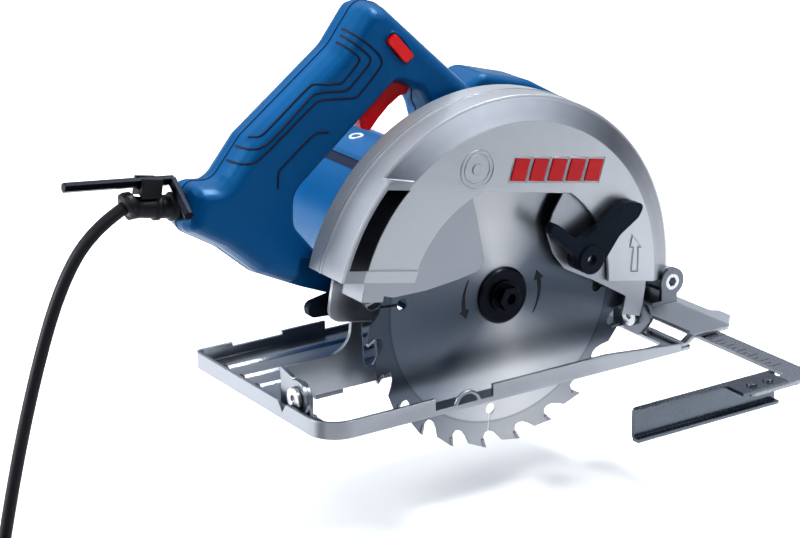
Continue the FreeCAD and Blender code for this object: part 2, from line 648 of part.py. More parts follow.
def gear_outline(teeth, first, centre, tip_add, backlash):
    # straight-sided approximation of involute flanks, three points a side
    pitch_r = MODULE * teeth / 2
    base_r = pitch_r * math.cos(PRESSURE)
    tip_r = pitch_r + tip_add
    root_r = pitch_r - 1.2 * MODULE
    half_tooth = (math.pi * MODULE / 2 - backlash) / (2 * pitch_r) + math.tan(PRESSURE) - PRESSURE

    def half_angle(radius):
        roll = math.acos(min(1.0, base_r / radius))
        return half_tooth - (math.tan(roll) - roll)

    flank = [root_r, max(base_r, root_r + 0.3), (pitch_r + base_r) / 2 + 0.3, tip_r]
    points = []
    for k in range(teeth):
        middle = math.radians(first) + 2 * math.pi * k / teeth
        for radius in flank:
            angle = middle - half_angle(radius)
            points.append((centre[0] + radius * math.cos(angle), centre[1] + radius * math.sin(angle)))
        for radius in reversed(flank):
            angle = middle + half_angle(radius)
            points.append((centre[0] + radius * math.cos(angle), centre[1] + radius * math.sin(angle)))
    return points


gear_teeth = int(dim("gear_teeth"))
pinion_teeth = int(dim("pinion_teeth"))
gear_rim = plate("XZ", gear_outline(gear_teeth, MESH_ANGLE + 180.0 / gear_teeth, (0, 0), 0.8, 0.35),
                 "d.gear_near", GEAR_END)
finish_node(cut(gear_rim, cyl(9, 30, 41)), "output_gear", ON_SAW)
pinion = plate("XZ", gear_outline(pinion_teeth, MESH_ANGLE + 180, MOTOR_AT, 1.0, 0.35), "d.gear_near", 40.5)
shaft = fuse(pinion, cyl(5, 40, 149.4, MOTOR_AT))
finish_node(shaft, "armature_shaft", ON_SAW)

nose = cyl("d.nose_radius", 6, 25)
case = fuse(nose, cyl(26.8, BACK_Y, 40), cyl(33, BACK_Y, 30, MOTOR_AT), cyl(42, 29, 40, MOTOR_AT))
case_rooms = [cyl(16, 5, 18), cyl(9.5, 17, 31), cyl(25, 30, 41), cyl(8, 30, 41, MOTOR_AT)]
lock_bore = cyl(3.05, 20, 40, (35, 0), "X")
finish_node(cut(case, case_rooms + [lock_bore]), "gear_housing", ON_SAW)
cover = fuse(cyl(26.8, 40, "d.motor_near"), cyl(42, 40, "d.motor_near", MOTOR_AT))
finish_node(cut(cover, [cyl(11, 39, 47), cyl(11, 39, 47, MOTOR_AT)]), "gear_cover", ON_SAW)


def bearing(inner, outer, start, end, centre, label):
    finish_node(cut(cyl(outer, start, end, centre), cyl("%s + d.running_gap" % inner, "%s - 1" % start,
                                                        "%s + 1" % end, centre)), label, ON_SAW)


bearing("d.spindle_radius", 16, 8, 18, (0, 0), "spindle_bearing_near")
bearing("6", 11, 40, 45.8, (0, 0), "spindle_bearing_far")
bearing("5", 11, 41, "d.motor_near", MOTOR_AT, "motor_bearing_near")
bearing("5", 11, 143, 149.5, MOTOR_AT, "motor_bearing_far")

lock_stem = fuse(cyl(3, 25.4, 32, (35, 0), "X"), cyl(5, 30.5, 34, (35, 0), "X"))
finish_node(lock_stem, "spindle_lock", ON_SAW)

# ================================================================ motor
barrel = cut(cyl("d.motor_radius", "d.motor_near", "d.motor_far", MOTOR_AT),
             cyl("d.motor_radius - d.motor_wall", "d.motor_near - 1", "d.motor_far + 1", MOTOR_AT))
vents = []
for k in range(9):
    pair = fuse(block((MOTOR_AT[0] + 30, 130, MOTOR_AT[1] - 2), (MOTOR_AT[0] + 60, 145, MOTOR_AT[1] + 2)),
                block((MOTOR_AT[0] + 30, 64, MOTOR_AT[1] - 2), (MOTOR_AT[0] + 60, 69, MOTOR_AT[1] + 2)))
    vents.append(spun(pair, -125 + 25 * k, MOTOR_AT))
BRUSH_TURN = 47.5
brush_bore = spun(cyl(5, -80, 80, (135, MOTOR_AT[1]), "X"), BRUSH_TURN, MOTOR_AT)
finish_node(cut(barrel, vents + [brush_bore]), "motor_housing", ON_SAW)

cap = fuse(cyl("d.motor_radius", "d.motor_far", 153, MOTOR_AT), cyl(41, 152, 156, MOTOR_AT),
           cyl(14, 143, 151, MOTOR_AT))
finish_node(cut(cap, cyl(11, 142, 149.9, MOTOR_AT)), "end_cap", ON_SAW)
finish_node(cut(cyl(42, 72, 122, MOTOR_AT), cyl(26, 71, 123, MOTOR_AT)), "field_core", ON_SAW)
finish_node(cut(cyl(25, 74, 120, MOTOR_AT), cyl(5, 70, 130, MOTOR_AT)), "armature_core", ON_SAW)
finish_node(cut(cyl(13, 127, 141, MOTOR_AT), cyl(5, 120, 143, MOTOR_AT)), "commutator", ON_SAW)

fan_blades = [spun(block((MOTOR_AT[0] + 10, 51, MOTOR_AT[1] - 1), (MOTOR_AT[0] + 37, 62, MOTOR_AT[1] + 1)),
                   30 * k, MOTOR_AT) for k in range(12)]
fan = fuse(cyl(38, 50, 52, MOTOR_AT), cyl(12, 50, 62, MOTOR_AT), *fan_blades)
finish_node(cut(fan, cyl(5, 49, 63, MOTOR_AT)), "fan", ON_SAW)

reach = math.sqrt((dim("motor_radius") - dim("motor_wall")) ** 2 - 25)
brush_gear = []
brush_caps = []
for side in (-1, 1):
    inner_x = MOTOR_AT[0] + side * 13.4
    outer_x = MOTOR_AT[0] + side * reach
    low, high = sorted((inner_x, outer_x))
    holder = block((low, 131, MOTOR_AT[1] - 4), (high, 139, MOTOR_AT[1] + 4))
    brush_gear.append(spun(holder, BRUSH_TURN, MOTOR_AT))
    low, high = sorted((outer_x, MOTOR_AT[0] + side * 46.2))
    brush_caps.append(spun(cyl(5, low, high, (135, MOTOR_AT[1]), "X"), BRUSH_TURN, MOTOR_AT))
for label, pair in (("brush_holders", brush_gear), ("brush_caps", brush_caps)):
    group = doc.addObject("Part::Compound", "pair")
    group.Links = pair
    finish_node(group, label, ON_SAW)

# ================================================================ handles
grip_outline = [(-98, 158, 10), (-112, 131, 20), (-135, 106, 20), (-160, 79, 14), (-174, 54, 10),
                (-191, 53, 7), (-193, 27, 7), (-166, 17, 10), (-142, 3, 14), (-108, -6, 20), (-60, -16, 12),
                (-22, -4, 8), (-12, 62, 12), (-3, 96, 7), (-10, 109, 8), (-84, 156, 12)]
grip_hole = [(-72, 114, 5), (-56, 110, 5), (-47, 98, 5), (-31, 66, 6), (-40, -1, 6), (-99, 11, 10),
             (-124, 32, 12), (-127, 50, 12)]
MID_Y = dim("handle_mid")
halves = []
for side in ("d.handle_near", "d.handle_far"):
    solid = crowned(grip_outline, "d.handle_mid", side, "d.handle_round")
    hand_room = crowned(grip_hole, "d.handle_mid", side, "d.handle_round - 4", grow=True)
    halves.append(cut(solid, hand_room))
near_round, far_round = halves

motor_room = cyl("d.motor_radius", 20, 70, MOTOR_AT)
lever_room = block((-120, 20, -40), (-30, 38, 14))
nut_room = cyl(8, 36, 41, CLAMP_AT)
switch_room = plate("XZ", [(-97, 88), (-112, 102), (-94, 128), (-72, 126), (-52, 113), (-50, 100), (-80, 80)],
                    38.4, 51.6)
BOOT_FROM = Vec(-178, MID_Y, 39.6)
BOOT_TO = Vec(-222, MID_Y, 37.7)
BOOT_TURN = App.Rotation(Vec(0, 1, 0), BOOT_TO - BOOT_FROM)
boot_room = cyl(7, 0, 30)
move(boot_room, App.Placement(BOOT_FROM, BOOT_TURN))
button_outline = [(-84.6, 137.4, 1.5), (-80.4, 142.4, 1.5), (-65.7, 130.7, 1.5), (-70.8, 126.2, 1.5)]
button_room = plate("XZ", inset(button_outline, -0.6), 20, 38.5)
TRIGGER_PIN = (-68, 115)
rooms = [motor_room, lever_room, nut_room, switch_room, boot_room, button_room]
near_half = fuse(cut(near_round, rooms), cyl(2, 38, MID_Y, TRIGGER_PIN))
finish_node(near_half, "handle_near", ON_SAW)
far_half = fuse(cut(far_round, [motor_room, switch_room, boot_room]), cyl(2, MID_Y, 52, TRIGGER_PIN))
finish_node(far_half, "handle_far", ON_SAW)

screw_heads = [cyl(3.5, "d.handle_far", "d.handle_far + 1.2", at)
               for at in ((-148, 70), (-90, 137), (-28, 106), (-158, 28), (-118, 10))]
screw_set = doc.addObject("Part::Compound", "screws")
screw_set.Links = screw_heads
finish_node(screw_set, "handle_screws", ON_SAW)
finish_node(plate("XZ", [(-109, 103, 1), (-96, 121, 1), (-87, 115, 1), (-99, 97.5, 1)], 39, 51),
            "switch_body", ON_SAW)

trigger_outline = [(-57, 110, 1), (-58.5, 107), (-63, 105.5, 2.5), (-69.5, 99.5, 6), (-75.5, 91.5, 6),
                   (-79.5, 85, 2), (-85.5, 86, 2), (-90, 98), (-86, 114, 3), (-71, 120.5, 4), (-61, 115.5, 3)]
finish_node(cut(plate("XZ", trigger_outline, "d.handle_mid - 6", "d.handle_mid + 6"),
                cyl("2 + d.running_gap", 35, 55, TRIGGER_PIN)), "trigger", ON_SAW)
finish_node(plate("XZ", button_outline, "d.handle_near - 2.5", "d.handle_near + 7"), "lock_button", ON_SAW)

pod_outline = [(-18, 44), (-9, 102, 9), (12, 116, 12), (48, 113, 24), (92, 98, 8), (102, 89, 6),
               (92, 81, 7), (54, 92, 14), (30, 86, 14), (22, 44)]
pod = rounded(plate("XZ", pod_outline, "d.handle_far + 2", 99), 5,
              lambda edge: on_side(dim("handle_far") + 2)(edge) or on_side(99)(edge))
finish_node(cut(pod, cyl("d.motor_radius", 60, 110, MOTOR_AT)), "aux_handle", ON_SAW)

# ================================================================ boot, key and lead
EXIT = Vec(-213.6, MID_Y, 129.7)
to_base = App.Placement(Vec(0, 0, dim("spindle_height")), App.Rotation(Vec(0, 1, 0), dim("saw_pitch")))
exit_on_saw = to_base.inverse().multVec(EXIT)
lead_down = math.radians(24)
lead_dir = to_base.Rotation.inverted().multVec(Vec(-math.cos(lead_down), 0, -math.sin(lead_down)))

taper = turned([(0, 0), (7, 0), (7, 16), (8, 17), (8, 19), (6.6, 20), (6.4, 26), (7.4, 27), (7.4, 29),
                (6.2, 30), (5.8, 38), (6.6, 44), (0, 44)])
move(taper, App.Placement(BOOT_FROM, BOOT_TURN))
collar = turned([(0, -7), (6, -7), (7.4, -4), (7.4, -1.5), (5.4, 0), (0, 0)])
move(collar, App.Placement(exit_on_saw, App.Rotation(Vec(0, 1, 0), lead_dir)))
finish_node(fuse(taper, collar), "cord_boot", ON_SAW)

key_from = Vec(-262, MID_Y, 48)
key_dir = Vec(-197.5 + 262, 0, 5.3).normalize()
key_turn = App.Rotation(Vec(0, 0, 1), key_dir)
long_arm = plate("XY", hexagon((0, 0), 5), 0, 65)
move(long_arm, App.Placement(key_from, key_turn))
key_corner = key_from + key_dir * 64.2
arm_dir = Vec(0, -23, -14).normalize()
short_arm = plate("XY", hexagon((0, 0), 5), 0, 27)
move(short_arm, App.Placement(key_corner, App.Rotation(Vec(0, 0, 1), arm_dir)))
finish_node(fuse(long_arm, short_arm), "hex_key", ON_SAW)

clip_base = block((-218, MID_Y - 5.5, 41), (-206, MID_Y + 5.5, 54.5))
clip_slot = block((-220, MID_Y - 3.2, 48.2), (-204, MID_Y + 3.2, 60))
clip_bore = cyl(8, 20, 44)
move(clip_bore, App.Placement(BOOT_FROM, BOOT_TURN))
finish_node(cut(clip_base, [clip_slot, clip_bore]), "key_clip", ON_SAW)

LEAD_R = dim("cord_diameter") / 2
LEAD_POINTS = [(-213.6, 45, 129.7), (-233.7, 45, 120.75), (-254.5, 45, 91.5), (-272.7, 45, 42.1),
               (-288.5, 45, -13), (-305, 45, -84.4), (-364, 11.5, -84.4)]
lead_points = [Vec(*point) for point in LEAD_POINTS]


def lead_path(points):
    # straight runs joined by tangent arcs
    edges = []
    start = points[0]
    tightest = 1e9
    for before, here, after in zip(points, points[1:], points[2:]):
        back = before - here
        ahead = after - here
        shorter = min(back.Length, ahead.Length)
        back.normalize()
        ahead.normalize()
        half_turn = (math.pi - back.getAngle(ahead)) / 2
        reach = 0.45 * shorter
        radius = reach / math.tan(half_turn)
        tightest = min(tightest, radius)
        middle = here + (back + ahead).normalize() * (radius / math.cos(half_turn) - radius)
        first, last = here + back * reach, here + ahead * reach
        edges.append(Part.makeLine(start, first))
        edges.append(Part.Arc(first, middle, last).toShape())
        start = last
    edges.append(Part.makeLine(start, points[-1]))
    return Part.Wire(edges), tightest


route, tightest = lead_path(lead_points)
section = Part.Wire(Part.makeCircle(LEAD_R, lead_points[0], (lead_points[1] - lead_points[0])))
lead_solid = route.makePipeShell([section], True, True)
finish_node(own_shape(lead_solid, "lead"), "cord_tube", ON_BASE)
print("lead: tightest bend %.1f mm, volume %.0f, section x length %.0f"
      % (tightest, lead_solid.Volume, math.pi * LEAD_R ** 2 * route.Length))

# the rest of the lead is a round coil that lies flat where the lead comes down
RING_R = dim("coil_ring_radius")
BUNDLE_R = dim("coil_bundle_radius")
last_dir = (lead_points[-1] - lead_points[-2]).normalize()
ring_centre = lead_points[-1] + Vec(-last_dir.y, last_dir.x, 0) * RING_R
ring_centre.z += BUNDLE_R - LEAD_R
ring = doc.addObject("Part::Torus", "ring")
bind(ring, "Radius1", "d.coil_ring_radius")
bind(ring, "Radius2", "d.coil_bundle_radius")
ring.Placement = App.Placement(ring_centre, App.Rotation())
finish_node(ring, "cord_coil", ON_BASE)

PLUG_AT = ring_centre + Vec(-RING_R - BUNDLE_R - LEAD_R, 0, -0.4)
plug_relief = Part.makeCone(4.5, 8.5, 32, PLUG_AT + Vec(0, -4, 0), Vec(0, -1, 0))
plug_body = Part.makeBox(26, 30, 21, PLUG_AT + Vec(-13, -64, -10.5))
plug_body = plug_body.makeFillet(4, plug_body.Edges)
plug_pins = [Part.makeBox(1.6, 18, 6.4, PLUG_AT + Vec(side * 6.4 - 0.8, -81, -3.2)) for side in (-1, 1)]
finish_node(own_shape(plug_relief.fuse([plug_body] + plug_pins).removeSplitter(), "plug"), "plug", ON_BASE)

# ================================================================ checks and export
doc.recompute()
for obj in doc.Objects:
    bad = [word for word in obj.State if word in ("Invalid", "Error")]
    if bad:
        raise RuntimeError("%s (%s) is %s" % (obj.Name, obj.Label, bad))
for obj in nodes:
    if obj.Shape.isNull() or not obj.Shape.isValid():
        raise RuntimeError("%s has no sound shape" % obj.Label)
    obj.Shape.exportStep("parts/%s.step" % obj.Label)
    box = obj.Shape.BoundBox
    print("%-22s %d solid(s)  x %.1f..%.1f  y %.1f..%.1f  z %.1f..%.1f"
          % (obj.Label, len(obj.Shape.Solids), box.XMin, box.XMax, box.YMin, box.YMax, box.ZMin, box.ZMax))
print(len(nodes), "parts")
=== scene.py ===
import json
import math
import bpy
import bmesh
from mathutils import Matrix, Vector
from mathutils.bvhtree import BVHTree


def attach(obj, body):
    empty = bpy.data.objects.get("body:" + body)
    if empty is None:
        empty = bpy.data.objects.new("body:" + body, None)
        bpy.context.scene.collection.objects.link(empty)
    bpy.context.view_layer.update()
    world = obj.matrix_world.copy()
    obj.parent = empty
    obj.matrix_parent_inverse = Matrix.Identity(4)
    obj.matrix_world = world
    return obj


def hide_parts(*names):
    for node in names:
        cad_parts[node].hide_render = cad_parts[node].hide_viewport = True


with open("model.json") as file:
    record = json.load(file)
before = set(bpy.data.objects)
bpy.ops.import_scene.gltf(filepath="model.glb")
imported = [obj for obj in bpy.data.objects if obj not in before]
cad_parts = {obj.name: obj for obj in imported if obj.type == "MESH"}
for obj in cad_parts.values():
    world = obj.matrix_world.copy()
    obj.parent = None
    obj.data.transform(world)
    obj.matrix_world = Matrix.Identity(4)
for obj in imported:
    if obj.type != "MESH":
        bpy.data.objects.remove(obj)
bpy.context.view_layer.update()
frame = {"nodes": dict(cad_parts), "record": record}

# The saw's own frame (u, y, v) has its origin where the spindle axis crosses the blade, and is
# pitched about that point. Lengths are in millimetres until on_base() or on_saw() turns them
# into metres of the row frame.
PITCH = math.radians(11.0)
SPINDLE_HEIGHT = 50.0
BLADE_SIDE = -60.0
FLOOR_Z = -88.2
LEAD_D = 7.2
BADGE_Y = -10.5
UPWARD = (0, 0, 1)


def on_base(x, y, z):
    return Vector((x, y + BLADE_SIDE, z)) / 1000


def on_saw(u, y, v):
    return Vector((u * math.cos(PITCH) + v * math.sin(PITCH), y + BLADE_SIDE,
                   SPINDLE_HEIGHT - u * math.sin(PITCH) + v * math.cos(PITCH))) / 1000


# ------------------------------------------------------------------ camera
CAMERA_AZIMUTH, CAMERA_ELEVATION, CAMERA_ROLL = 32.82, 18.69, -0.99
CAMERA_FROM_SPINDLE = Vector((-0.7836, -1.1089, 0.4754))
CAMERA_LENS = 113.17


def set_camera():
    azimuth, elevation = math.radians(CAMERA_AZIMUTH), math.radians(CAMERA_ELEVATION)
    roll = math.radians(CAMERA_ROLL)
    back = Vector((-math.sin(azimuth) * math.cos(elevation), -math.cos(azimuth) * math.cos(elevation),
                   math.sin(elevation)))
    right = (-back).cross(Vector(UPWARD)).normalized()
    up = right.cross(-back)
    rolled_right = right * math.cos(roll) + up * math.sin(roll)
    rolled_up = up * math.cos(roll) - right * math.sin(roll)
    camera = bpy.data.cameras.new("camera")
    camera.sensor_width = 36.0
    camera.lens = CAMERA_LENS
    camera.clip_end = 30.0
    holder = bpy.data.objects.new("camera", camera)
    turn = Matrix((rolled_right, rolled_up, back)).transposed()
    place = on_saw(0, 0, 0) + CAMERA_FROM_SPINDLE
    holder.matrix_world = Matrix.Translation(place) @ turn.to_4x4()
    bpy.context.scene.collection.objects.link(holder)
    bpy.context.scene.camera = holder


set_camera()


# ------------------------------------------------------------------ materials
def new_material(name, color, rough, metal=0.0, spec=0.5):
    mat = bpy.data.materials.new(name)
    mat.use_nodes = True
    mat.diffuse_color = (*color, 1)
    nodes, links = mat.node_tree.nodes, mat.node_tree.links
    shader = nodes["Principled BSDF"]
    shader.inputs["Base Color"].default_value = (*color, 1)
    shader.inputs["Roughness"].default_value = rough
    shader.inputs["Metallic"].default_value = metal
    shader.inputs["Specular IOR Level"].default_value = spec
    return mat, nodes, links, shader


def coordinates(nodes, links, scale=(1, 1, 1)):
    source = nodes.new("ShaderNodeTexCoord")
    mapping = nodes.new("ShaderNodeMapping")
    mapping.inputs["Scale"].default_value = scale
    links.new(source.outputs["Object"], mapping.inputs["Vector"])
    return mapping.outputs["Vector"]


def noise(nodes, links, vector, scale, detail=3.0, rough=0.5):
    tex = nodes.new("ShaderNodeTexNoise")
    tex.inputs["Scale"].default_value = scale
    tex.inputs["Detail"].default_value = detail
    tex.inputs["Roughness"].default_value = rough
    links.new(vector, tex.inputs["Vector"])
    return tex.outputs["Fac"]


def ramp(nodes, links, value, stops):
    node = nodes.new("ShaderNodeValToRGB")
    elements = node.color_ramp.elements
    while len(elements) < len(stops):
        elements.new(0.5)
    for element, (place, color) in zip(elements, stops):
        element.position = place
        element.color = (*color, 1)
    links.new(value, node.inputs["Fac"])
    return node.outputs["Color"]


def spread(nodes, links, value, low, high):
    return mapped(nodes, links, value, 0.0, 1.0, low, high)


def bump(nodes, links, shader, height, strength, distance, soften=0.0009):
    # fine relief over edges that look slightly rolled
    node = nodes.new("ShaderNodeBump")
    rolled = nodes.new("ShaderNodeBevel")
    rolled.samples = 4
    rolled.inputs["Radius"].default_value = soften
    links.new(rolled.outputs["Normal"], node.inputs["Normal"])
    node.inputs["Strength"].default_value = strength
    node.inputs["Distance"].default_value = distance
    links.new(height, node.inputs["Height"])
    links.new(node.outputs["Normal"], shader.inputs["Normal"])


def mapped(nodes, links, value, start, end, low=0.0, high=1.0):
    # low up to start, high from end on, and evenly between
    node = nodes.new("ShaderNodeMapRange")
    node.inputs["From Min"].default_value = start
    node.inputs["From Max"].default_value = end
    node.inputs["To Min"].default_value = low
    node.inputs["To Max"].default_value = high
    links.new(value, node.inputs["Value"])
    return node.outputs["Result"]


def arithmetic(nodes, links, operation, first, second):
    node = nodes.new("ShaderNodeMath")
    node.operation = operation
    links.new(first, node.inputs[0])
    if isinstance(second, float):
        node.inputs[1].default_value = second
    else:
        links.new(second, node.inputs[1])
    return node.outputs["Value"]


def toward(nodes, links, vector, way):
    # how far a vector points along a fixed way
    node = nodes.new("ShaderNodeVectorMath")
    node.operation = "DOT_PRODUCT"
    node.inputs[1].default_value = way
    links.new(vector, node.inputs[0])
    return node.outputs["Value"]


def unit(nodes, links, vector):
    node = nodes.new("ShaderNodeVectorMath")
    node.operation = "NORMALIZE"
    links.new(vector, node.inputs[0])
    return node.outputs["Vector"]


def tinted(nodes, links, first, second, share=None):
    # two colours multiplied, fully or by a share
    node = nodes.new("ShaderNodeMix")
    node.data_type = "RGBA"
    node.blend_type = "MULTIPLY"
    node.inputs["Factor"].default_value = 1.0
    if share is not None:
        links.new(share, node.inputs["Factor"])
    links.new(first, node.inputs["A"])
    links.new(second, node.inputs["B"])
    return node.outputs["Result"]


def shade(color, factor):
    return tuple(min(1.0, c * factor) for c in color)


def painted_edge_highlight(nodes, links, color_socket, light, amount):
    # convex edges get a lighter tone: a painted highlight
    geometry = nodes.new("ShaderNodeNewGeometry")
    edge_highlight_mask = mapped(nodes, links, geometry.outputs["Pointiness"], 0.505, 0.56, 0.0, amount)
    mix = nodes.new("ShaderNodeMix")
    mix.data_type = "RGBA"
    links.new(edge_highlight_mask, mix.inputs["Factor"])
    links.new(color_socket, mix.inputs["A"])
    mix.inputs["B"].default_value = (*light, 1)
    return mix.outputs["Result"]


def moulded(name, color, rough, grain=2600.0, depth=0.00005, mottled=0.12, edge=0.35, spec=0.3,
            soften=0.0009, glint=(1, 1, 1)):
    mat, nodes, links, shader = new_material(name, color, rough, spec=spec)
    shader.inputs["Specular Tint"].default_value = (*glint, 1)
    vector = coordinates(nodes, links)
    cloud = noise(nodes, links, vector, 35.0, 4.0)
    tint = ramp(nodes, links, cloud,
                [(0.3, shade(color, 1 - mottled)), (0.7, shade(color, 1 + mottled))])
    # convex edges painted lighter: a painted highlight
    links.new(painted_edge_highlight(nodes, links, tint, shade(color, 1.9), edge), shader.inputs["Base Color"])
    fine = noise(nodes, links, vector, grain, 2.0)
    links.new(spread(nodes, links, cloud, rough - 0.06, rough + 0.08), shader.inputs["Roughness"])
    bump(nodes, links, shader, fine, 0.35, depth, soften)
    return mat


def metal(name, color, rough, stretch=(1, 1, 1), grain=900.0, depth=0.00002, cloudy=0.06, strength=0.12,
          edge_highlight_share=0.4):
    mat, nodes, links, shader = new_material(name, color, rough, 1.0)
    vector = coordinates(nodes, links, stretch)
    plain = coordinates(nodes, links)
    cloud = noise(nodes, links, plain, 22.0, 5.0, 0.6)
    tint = ramp(nodes, links, cloud,
                [(0.25, shade(color, 1 - cloudy)), (0.75, shade(color, 1 + cloudy))])
    # convex edges painted lighter: a painted highlight
    links.new(painted_edge_highlight(nodes, links, tint, shade(color, 1.35), edge_highlight_share), shader.inputs["Base Color"])
    streak = noise(nodes, links, vector, grain, 3.0, 0.6)
    links.new(spread(nodes, links, streak, rough - 0.07, rough + 0.09), shader.inputs["Roughness"])
    bump(nodes, links, shader, streak, strength, depth)
    return mat


def spindle_offset(nodes, links):
    # offset and distance from the spindle axis, in metres
    source = nodes.new("ShaderNodeTexCoord")
    shift = nodes.new("ShaderNodeVectorMath")
    shift.operation = "SUBTRACT"
    shift.inputs[1].default_value = on_saw(0, 0, 0)
    links.new(source.outputs["Object"], shift.inputs[0])
    flat = nodes.new("ShaderNodeVectorMath")
    flat.operation = "MULTIPLY"
    flat.inputs[1].default_value = (1, 0, 1)
    links.new(shift.outputs["Vector"], flat.inputs[0])
    length = nodes.new("ShaderNodeVectorMath")
    length.operation = "LENGTH"
    links.new(flat.outputs["Vector"], length.inputs[0])
    return flat.outputs["Vector"], length.outputs["Value"]


def guard_casting():
    # the rim is duller than the face; the sloped band inside it has a painted highlight at its top and
    # painted shade at its sides
    band_start, band_end, rim = 0.1032, 0.116, 0.1159
    mat = metal("guard_cast", (0.37, 0.385, 0.41), 0.36, grain=1500.0, depth=0.00006, cloudy=0.05)
    nodes, links = mat.node_tree.nodes, mat.node_tree.links
    shader = nodes["Principled BSDF"]
    from_spindle, radius = spindle_offset(nodes, links)
    bare = mapped(nodes, links, radius, rim - 0.0009, rim + 0.0009, 1.0, 0.5)
    links.new(bare, shader.inputs["Metallic"])
    height = toward(nodes, links, unit(nodes, links, from_spindle), UPWARD)
    # painted highlight at the top of the sloped band, painted shade at its sides
    painted_light_and_shade_sectors = ramp(nodes, links, height,
                   [(0.0, (0.55, 0.55, 0.57)), (0.75, (0.62, 0.62, 0.64)), (0.97, (1.5, 1.5, 1.5))])
    sloped = mapped(nodes, links, radius, band_start - 0.0004, band_start + 0.0004)
    inner = arithmetic(nodes, links, "LESS_THAN", radius, band_end)
    share = arithmetic(nodes, links, "MULTIPLY", sloped, inner)
    plain = shader.inputs["Base Color"].links[0].from_socket
    links.new(tinted(nodes, links, plain, painted_light_and_shade_sectors, share), shader.inputs["Base Color"])
    return mat


def blade_steel():
    # ground in rings; the bright sectors above and below the spindle are painted highlights, with painted
    # shade at the sides
    mat, nodes, links, shader = new_material("blade_steel", (0.42, 0.43, 0.45), 0.3, 1.0)
    from_spindle, radius = spindle_offset(nodes, links)
    ring = nodes.new("ShaderNodeTexNoise")
    ring.noise_dimensions = "1D"
    ring.inputs["Scale"].default_value = 2400.0
    ring.inputs["Detail"].default_value = 3.0
    links.new(radius, ring.inputs["W"])
    tone = ramp(nodes, links, mapped(nodes, links, radius, 0.0, 0.1),
                [(0.0, (0.52, 0.53, 0.55)), (0.752, (0.54, 0.55, 0.57)), (0.762, (0.28, 0.29, 0.31)),
                 (0.772, (0.38, 0.39, 0.41)), (1.0, (0.42, 0.43, 0.45))])
    # painted highlight in the sectors above and below the spindle, painted shade to the sides
    along = toward(nodes, links, unit(nodes, links, from_spindle), (-0.13, 0, 0.99))
    painted_light_and_shade_sectors = ramp(nodes, links, arithmetic(nodes, links, "MULTIPLY", along, along),
                   [(0.0, (0.15, 0.18, 0.22)), (0.35, (0.28, 0.31, 0.36)), (0.8, (0.75, 0.77, 0.80)),
                    (1.0, (1.0, 1.0, 1.0))])
    links.new(tinted(nodes, links, tone, painted_light_and_shade_sectors), shader.inputs["Base Color"])
    shader.inputs["Anisotropic"].default_value = 0.88
    links.new(from_spindle, shader.inputs["Tangent"])
    links.new(spread(nodes, links, ring.outputs["Fac"], 0.26, 0.40), shader.inputs["Roughness"])
    bump(nodes, links, shader, ring.outputs["Fac"], 0.25, 0.00002)
    return mat


MATS = {
    "blue_plastic": moulded("blue_plastic", (0.0006, 0.056, 0.155), 0.30, depth=0.00012, mottled=0.08,
                            edge=0.25, spec=0.38, soften=0.003, glint=(0.22, 0.60, 1.0)),
    "blue_shadow": moulded("blue_shadow", (0.0005, 0.007, 0.030), 0.6, edge=0.0),
    "black_plastic": moulded("black_plastic", (0.0018, 0.003, 0.006), 0.42, edge=0.5, spec=0.18,
                             glint=(0.5, 0.7, 1.0)),
    "black_rubber": moulded("black_rubber", (0.003, 0.003, 0.005), 0.45, grain=1800.0, edge=0.3),
    "red_plastic": moulded("red_plastic", (0.46, 0.006, 0.008), 0.30, depth=0.00002),
    "badge": moulded("badge", (0.30, 0.003, 0.006), 0.34, depth=0.00002),
    "white_print": moulded("white_print", (0.60, 0.62, 0.66), 0.5, edge=0.0),
    "black_print": moulded("black_print", (0.006, 0.008, 0.012), 0.5, edge=0.0),
    "guard_cast": guard_casting(),
    "cover_steel": metal("cover_steel", (0.27, 0.285, 0.31), 0.34, grain=1200.0, depth=0.00003,
                         cloudy=0.04),
    "base_steel": metal("base_steel", (0.27, 0.285, 0.31), 0.32, grain=1100.0, cloudy=0.10),
    "bracket_steel": metal("bracket_steel", (0.25, 0.265, 0.29), 0.30, grain=1100.0, cloudy=0.10),
    "guide_steel": metal("guide_steel", (0.24, 0.25, 0.27), 0.27, grain=1000.0, cloudy=0.08),
    "fence_steel": metal("fence_steel", (0.105, 0.12, 0.14), 0.25, grain=1000.0, cloudy=0.25),
    # shaded_steel: a darker copy of the steel, painted shade
    "shaded_steel": metal("shaded_steel", (0.12, 0.13, 0.15), 0.30, grain=1100.0, cloudy=0.12),
    "bright_steel": metal("bright_steel", (0.42, 0.43, 0.45), 0.22),
    "dark_steel": metal("dark_steel", (0.012, 0.014, 0.019), 0.30),
    "black_steel": metal("black_steel", (0.005, 0.006, 0.009), 0.32),
    "housing_cast": metal("housing_cast", (0.30, 0.30, 0.31), 0.45, grain=1500.0, depth=0.0001),
    "copper": metal("copper", (0.70, 0.36, 0.20), 0.3),
    "carbide": metal("carbide", (0.20, 0.20, 0.22), 0.22),
    "blade_steel": blade_steel(),
}

SLOTS = {entry["node"]: entry["material_slot"] for entry in frame["record"]["subparts"]}
# nodes whose finish differs from their slot's, and the slots of finishes that only pieces have;
# shaded_steel, on front_bracket and tie_strip, is a darker copy of the steel: painted shade
FINISHES_AND_SHADE = {"fence": "fence_steel", "front_bracket": "shaded_steel", "tie_strip": "shaded_steel"}


def dress_nodes():
    for name, node in frame["nodes"].items():
        material = MATS[FINISHES_AND_SHADE.get(name, SLOTS[name])]
        if not node.data.materials:
            node.data.materials.append(material)
        for place in range(len(node.material_slots)):
            node.material_slots[place].material = material


dress_nodes()


# ------------------------------------------------------------------ lead
LEAD_POINTS = [(-213.6, 45, 129.7), (-233.7, 45, 120.75), (-254.5, 45, 91.5), (-272.7, 45, 42.1),
               (-288.5, 45, -13), (-305, 45, -84.4), (-364, 11.5, -84.4)]
COIL_CENTRE = Vector((-344.25, -23.28, -77.0))
COIL_R = 40.0
COIL_TURNS = 7
POINTS_A_TURN = 14


